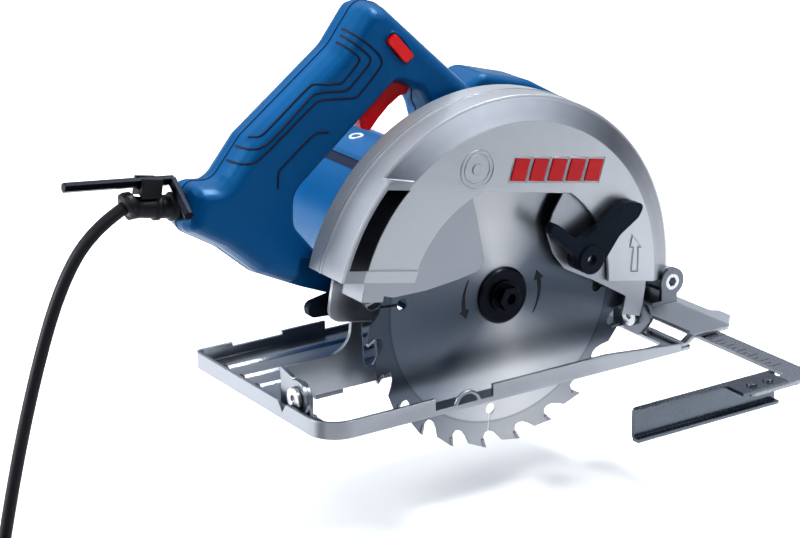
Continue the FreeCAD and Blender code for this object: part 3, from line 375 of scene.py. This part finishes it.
def coil_points():
    # the turns lie in two, three and two beside each other, and the last one leaves for the plug
    first = math.atan2(LEAD_POINTS[-1][1] - COIL_CENTRE.y, LEAD_POINTS[-1][0] - COIL_CENTRE.x)
    half, low, middle, high = 3.8, -6.9, -0.2, 6.6
    layers = [(-half, low), (half, low), (7.3, middle), (0, middle), (-7.3, middle), (-half, high),
              (half, high), (15.0, -0.5)]
    to_plug = (math.pi - first) / (2 * math.pi)
    count = int((COIL_TURNS + to_plug) * POINTS_A_TURN)
    points = []
    for k in range(2, count + 1):
        turn = (COIL_TURNS + to_plug) * k / count
        layer = min(int(turn), COIL_TURNS - 1)
        step = min(1.0, max(0.0, (turn - layer - 0.7) / 0.3)) if turn < COIL_TURNS else 1.0
        step = step * step * (3 - 2 * step)
        now, after = layers[layer], layers[layer + 1]
        out = now[0] + (after[0] - now[0]) * step
        lift = now[1] + (after[1] - now[1]) * step
        angle, reach = first + 2 * math.pi * turn, COIL_R + out
        points.append(COIL_CENTRE + Vector((reach * math.cos(angle), reach * math.sin(angle), lift)))
    into_plug = COIL_CENTRE + Vector((-COIL_R - 14.6, -18, -0.4))
    return points + [into_plug]


def make_lead():
    curve = bpy.data.curves.new("lead", "CURVE")
    curve.dimensions = "3D"
    curve.bevel_depth = LEAD_D / 2000
    curve.bevel_resolution = 6
    curve.resolution_u = 12
    curve.use_fill_caps = True
    spline = curve.splines.new("NURBS")
    route = [Vector(point) for point in LEAD_POINTS] + coil_points()
    spline.points.add(len(route) - 1)
    for point, place in zip(spline.points, route):
        point.co = (*on_base(*place), 1)
    spline.order_u = 3
    spline.use_endpoint_u = True
    lead = bpy.data.objects.new("lead", curve)
    bpy.context.scene.collection.objects.link(lead)
    curve.materials.append(MATS["black_rubber"])
    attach(lead, "saw")
    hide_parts("cord_tube", "cord_coil")


make_lead()


# ------------------------------------------------------------------ moulded and printed detail
def add_piece(name, data, material, body):
    piece = bpy.data.objects.new(name, data)
    bpy.context.scene.collection.objects.link(piece)
    data.materials.append(MATS[material])
    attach(piece, body)
    return piece


def tubes(name, lines, radius, material, body="saw", closed=False):
    # thin beads along lines of points that are already in the row frame
    curve = bpy.data.curves.new(name, "CURVE")
    curve.dimensions = "3D"
    curve.bevel_depth = radius / 1000
    curve.bevel_resolution = 3
    curve.use_fill_caps = True
    for line in lines:
        spline = curve.splines.new("POLY")
        spline.points.add(len(line) - 1)
        for point, place in zip(spline.points, line):
            point.co = (*place, 1)
        spline.use_cyclic_u = closed
    return add_piece(name, curve, material, body)


def slabs(name, outlines, start, end, place, material, body="saw", edge=0.0):
    # flat raised shapes: outlines in the group's own plane, from start to end across the saw
    shapes = bmesh.new()
    for outline in outlines:
        low = [shapes.verts.new(place(u, start, v)) for u, v in outline]
        high = [shapes.verts.new(place(u, end, v)) for u, v in outline]
        shapes.faces.new(low)
        shapes.faces.new(list(reversed(high)))
        for k in range(len(outline)):
            after = (k + 1) % len(outline)
            shapes.faces.new((low[k], high[k], high[after], low[after]))
    bmesh.ops.recalc_face_normals(shapes, faces=shapes.faces)
    mesh = bpy.data.meshes.new(name)
    shapes.to_mesh(mesh)
    shapes.free()
    piece = add_piece(name, mesh, material, body)
    if edge:
        bevel = piece.modifiers.new("edge", "BEVEL")
        bevel.width = edge / 1000
        bevel.segments = 2
    return piece


def softened(line, rounds=3, closed=False):
    # cuts the corners of a line of points again and again
    for _ in range(rounds):
        pairs = list(zip(line, line[1:] + line[:1])) if closed else list(zip(line, line[1:]))
        cut = [] if closed else [line[0]]
        for a, b in pairs:
            cut += [tuple(p * 0.75 + q * 0.25 for p, q in zip(a, b)),
                    tuple(p * 0.25 + q * 0.75 for p, q in zip(a, b))]
        line = cut if closed else cut + [line[-1]]
    return line


def divided(line, step):
    # adds points so that none are further apart than step
    result = [line[0]]
    for a, b in zip(line, line[1:]):
        count = max(1, math.ceil(math.dist(a, b) / step))
        result += [tuple(p + (q - p) * k / count for p, q in zip(a, b)) for k in range(1, count + 1)]
    return result


def laid_on(node, line, lift=0.0):
    # drops points of the saw's side plane on to a node, from the blade side
    mesh = frame["nodes"][node].data
    tree = BVHTree.FromPolygons([v.co for v in mesh.vertices], [f.vertices for f in mesh.polygons])
    points = []
    for u, v in line:
        hit = tree.ray_cast(on_saw(u, -150, v), Vector((0, 1, 0)))[0]
        if hit is not None:
            points.append(hit - Vector((0, lift / 1000, 0)))
    return points


# Grooves of the grip on the saw's side plane. The long groove comes three times, each moved to its right.
# (u, v) on the grip side; these numbers came from ray casting, they are not dimensions
GROOVES = [
    [(-106.2, 141.1), (-93.6, 133.9), (-87.2, 129.4), (-84.9, 125.8), (-85.9, 122), (-97.2, 106.6),
     (-99.8, 104.9), (-121, 103.6), (-125.5, 100.8), (-151, 73), (-156.8, 68.1), (-163, 65.6),
     (-167.2, 65.6)],
    [(-107.8, 137.6), (-99.6, 132.1), (-94.1, 129.1), (-92.4, 126.5), (-93.7, 123.3), (-104.1, 110.1),
     (-106.7, 108.6), (-124.2, 107.4), (-127, 105.3), (-148.9, 79.9), (-154, 75.9), (-159.1, 73.8),
     (-162.7, 73.6)],
    [(-109.8, 133.8), (-102.9, 129.3), (-100.1, 127.3), (-100.1, 125.1), (-108.4, 113.6),
     (-110.9, 112.5), (-124.6, 111.8), (-127.9, 109.3), (-150, 84.9), (-154, 81), (-158.2, 79.6)],
    [(-113.7, 85.5), (-120.5, 85.2), (-123.9, 83), (-141.4, 64.2), (-142.2, 61.5), (-141.1, 53.5)],
]
tubes("grip_grooves", [laid_on("handle_near", divided(softened(line), 1.5)) for line in GROOVES], 0.65,
      "blue_shadow")


def seam_loops(node, y, shortest=150.0):
    # outlines that a node shows on the parting plane, in order round each loop
    mesh = frame["nodes"][node].data
    solid = bmesh.new()
    solid.from_mesh(mesh)
    level = on_saw(0, y, 0).y
    edges = [e for e in solid.edges if all(abs(v.co.y - level) < 1e-6 for v in e.verts)
             and sum(abs(f.normal.y) > 0.99 for f in e.link_faces) == 1]
    neighbours = {}
    for e in edges:
        a, b = (tuple(round(c, 6) for c in v.co) for v in e.verts)
        neighbours.setdefault(a, []).append(b)
        neighbours.setdefault(b, []).append(a)
    solid.free()
    loops = []
    while neighbours:
        here = min(neighbours)
        loop = [here]
        while neighbours.get(here):
            after = neighbours[here].pop()
            neighbours[after].remove(here)
            if not neighbours[here]:
                del neighbours[here]
            loop.append(after)
            here = after
        neighbours = {k: v for k, v in neighbours.items() if v}
        if sum(math.dist(a, b) for a, b in zip(loop, loop[1:])) * 1000 > shortest:
            loops.append(loop)
    return loops


tubes("grip_seam", seam_loops("handle_near", 45), 0.35, "blue_shadow")

BUTTON_FRAME = [(-86.8, 137.6), (-80.4, 145.2), (-63.0, 130.8), (-70.8, 123.6)]
tubes("button_frame", [laid_on("handle_near", divided(softened(BUTTON_FRAME, 3, True), 2), -0.5)], 1.1,
      "blue_plastic", closed=True)

MOTOR_U, MOTOR_V, MOTOR_R = -17.6, 21.13, 45.0


def barrel(angle, y, lift):
    a = math.radians(angle)
    return on_saw(MOTOR_U + (MOTOR_R + lift) * math.cos(a), y, MOTOR_V + (MOTOR_R + lift) * math.sin(a))


def barrel_patch(name, angles, ends, lift, material):
    # a thin raised patch that follows the motor housing
    shapes = bmesh.new()
    rows = []
    for angle in angles:
        rows.append([shapes.verts.new(barrel(angle, y, h))
                     for y, h in ((ends[0], -0.2), (ends[0], lift), (ends[1], lift), (ends[1], -0.2))])
    for a, b in zip(rows, rows[1:]):
        for k in range(4):
            shapes.faces.new((a[k], a[(k + 1) % 4], b[(k + 1) % 4], b[k]))
    shapes.faces.new(rows[0])
    shapes.faces.new(list(reversed(rows[-1])))
    bmesh.ops.recalc_face_normals(shapes, faces=shapes.faces)
    mesh = bpy.data.meshes.new(name)
    shapes.to_mesh(mesh)
    shapes.free()
    return add_piece(name, mesh, material, "saw")


def circle(count):
    # cosine and sine at even steps round a circle
    turns = [2 * math.pi * k / count for k in range(count)]
    return [(math.cos(turn), math.sin(turn)) for turn in turns]


def add_motor_detail():
    barrel_ends = (48, 149)
    barrel_patch("motor_channel", [130.5 + k for k in range(9)], barrel_ends, 0.35, "blue_shadow")
    barrel_patch("motor_rib", [127.5 + k for k in range(4)], barrel_ends, 0.9, "blue_plastic")
    mark = [barrel(107 + 5 * c, 124 + 3.6 * s, 0.1) for c, s in circle(36)]
    tubes("motor_mark", [mark], 0.7, "white_print", closed=True)


add_motor_detail()


# printed arrows on the blade that show the way it turns
def arc_arrow(radius, first, last, width):
    # a thin bent arrow that widens towards its head
    count, tail, neck_at, head_width = 16, 0.25, 0.78, 2.3

    def at(distance, angle):
        return distance * math.cos(angle), distance * math.sin(angle)

    inner, outer = [], []
    for k in range(count + 1):
        part = k / count
        angle = math.radians(first + (last - first) * neck_at * part)
        half = tail + (width - tail) * part
        inner.append(at(radius - half, angle))
        outer.append(at(radius + half, angle))
    neck, tip = math.radians(first + (last - first) * neck_at), math.radians(last)
    head = [at(radius + side * width * head_width, neck) for side in (1, -1)]
    return outer + [head[0], at(radius, tip), head[1]] + list(reversed(inner))


slabs("blade_print", [arc_arrow(26.5, -24, 34, 1.5), arc_arrow(26.5, 160, 212, 1.5)], -0.82, -0.69, on_saw,
      "black_print", body="spindle")


# ------------------------------------------------------------------ badge, roundel and arrow of the guard
def slanted(left, right, low, high, lean):
    return [(left, low), (right, low), (right + lean, high), (left + lean, high)]


def add_badge():
    # five slanted raised blocks in thin rims
    pitch, rise, margin = 13.1, 0.25, 0.9
    blocks = [slanted(-14.5 + pitch * k, -4.3 + pitch * k, 69 + rise * k, 82 + rise * k, 1.6)
              for k in range(5)]
    word = slabs("badge_blocks", blocks, -11.25, -10.4, on_saw, "badge", edge=0.35)
    rims = []
    for (left, low), (right, _), (_, high), _ in blocks:
        rim = slanted(left - margin, right + margin, low - margin, high + margin, 1.8)
        rims.append([on_saw(u, BADGE_Y, v) for u, v in rim])
    tubes("badge_rims", rims, 0.4, "guard_cast", closed=True)
    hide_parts("guard_badge")


def add_roundel():
    # a plain disc in two plain rings
    u, v = -38, 75
    rings = [[on_saw(u + r * c, BADGE_Y, v + r * s) for c, s in circle(48)] for r in (11.0, 8.4)]
    tubes("roundel_rings", rings, 0.55, "guard_cast", closed=True)
    disc = [(u + 3.4 * c, v + 3.4 * s) for c, s in circle(24)]
    slabs("roundel_disc", [disc], -11.1, -10.4, on_saw, "guard_cast", edge=0.3)


def add_guard_arrow():
    outline = [(80.5, 38.5), (88.6, 31.2), (86.2, 31.2), (88.8, 16.6), (83.8, 16.6), (82.6, 31.2),
               (79.9, 31.2)]
    tubes("guard_arrow", [[on_saw(u, BADGE_Y, v) for u, v in outline]], 0.4, "guard_cast", closed=True)
    # a dark copy of the arrow's outline, set down and to the right of it in black print: a painted shadow
    tubes("guard_arrow_shade", [[on_saw(u + 0.5, -10.42, v - 0.4) for u, v in outline]], 0.35, "black_print",
          closed=True)


add_badge()
add_roundel()
add_guard_arrow()


# ------------------------------------------------------------------ guide scale and end cap
def add_guide_scale():
    # scale lines across the guide bar, every second one longer
    edge, top, long_mark, short_mark = 128.2, 5.08, 6.5, 3.5
    marks = []
    for k in range(27):
        y = -88 + 5 * k
        length = long_mark if k % 2 == 0 else short_mark
        marks.append([on_base(edge, y, top), on_base(edge + length, y, top)])
    tubes("guide_scale", marks, 0.22, "black_print", body="guide")


def add_cap_ribs():
    # cooling ribs on the motor's end cap
    ribs = [[on_saw(MOTOR_U + r * c, 156, MOTOR_V + r * s) for r in (18, 36)] for c, s in circle(20)]
    tubes("cap_ribs", ribs, 1.0, "blue_shadow")


add_guide_scale()
add_cap_ribs()


# ------------------------------------------------------------------ stage
def add_floor():
    # pale under and behind the saw, and grey in front of it, where the guard's face mirrors it
    side = 12.0
    mat, nodes, links, shader = new_material("floor", (0.93, 0.93, 0.93), 0.6)
    vector = coordinates(nodes, links)
    tint = ramp(nodes, links, noise(nodes, links, vector, 6.0),
                [(0.3, (0.92, 0.92, 0.92)), (0.7, (0.94, 0.94, 0.94))])
    falloff = ramp(nodes, links, toward(nodes, links, vector, (-0.577, -0.817, 0)),
                   [(0.05, (1, 1, 1)), (0.32, (0.46, 0.46, 0.47)), (1.0, (0.40, 0.40, 0.42))])
    links.new(tinted(nodes, links, tint, falloff), shader.inputs["Base Color"])
    corners = [(-side, -side, 0), (side, -side, 0), (side, side, 0), (-side, side, 0)]
    mesh = bpy.data.meshes.new("floor")
    mesh.from_pydata(corners, [], [(0, 1, 2, 3)])
    mesh.materials.append(mat)
    floor = bpy.data.objects.new("floor", mesh)
    floor.location.z = FLOOR_Z / 1000
    bpy.context.scene.collection.objects.link(floor)


def set_world():
    # a dark band just over the horizon, and a bright sky above it
    world = bpy.data.worlds.new("studio")
    bpy.context.scene.world = world
    world.use_nodes = True
    nodes, links = world.node_tree.nodes, world.node_tree.links
    background = nodes["Background"]
    source = nodes.new("ShaderNodeTexCoord")
    split = nodes.new("ShaderNodeSeparateXYZ")
    links.new(source.outputs["Generated"], split.inputs["Vector"])
    height = mapped(nodes, links, split.outputs["Z"], -1.0, 1.0)
    tones = ramp(nodes, links, height,
                 [(0.49, (0.55, 0.60, 0.68)), (0.53, (0.04, 0.05, 0.07)), (0.62, (0.16, 0.19, 0.24)),
                  (0.74, (0.85, 0.90, 1.0)), (0.90, (1.1, 1.15, 1.2)), (1.0, (0.45, 0.49, 0.55))])
    links.new(tones, background.inputs["Color"])
    background.inputs["Strength"].default_value = 0.9


# name: place and size in metres, power in watts
LIGHTS = {
    "top": ((0.3, 0.6, 4.0), (4.5, 4.5), 70),
    "key": ((-1.7, -1.3, 2.0), (0.6, 0.6), 7),
    "rim": ((1.0, 0.15, 1.8), (0.35, 0.35), 22),
    "front": ((0.9, -1.3, 2.4), (0.5, 0.5), 24),
    "side": ((-2.2, 0.9, 0.9), (0.5, 1.6), 60),
}


def add_lights():
    aim = Vector((0, 0, 0.05))
    for name, (place, size, power) in LIGHTS.items():
        light = bpy.data.lights.new(name, "AREA")
        light.shape = "RECTANGLE"
        light.size, light.size_y = size
        light.energy = power
        lamp = bpy.data.objects.new(name, light)
        lamp.location = place
        lamp.rotation_euler = (aim - Vector(place)).to_track_quat("-Z", "Y").to_euler()
        bpy.context.scene.collection.objects.link(lamp)


add_floor()
set_world()
add_lights()
bpy.context.scene.view_settings.view_transform = "Standard"
bpy.context.scene.view_settings.look = "Medium High Contrast"

SHARP_ANGLE = math.radians(32)
for node in frame["nodes"].values():
    node.data.shade_smooth()
    node.data.set_sharp_from_angle(angle=SHARP_ANGLE)
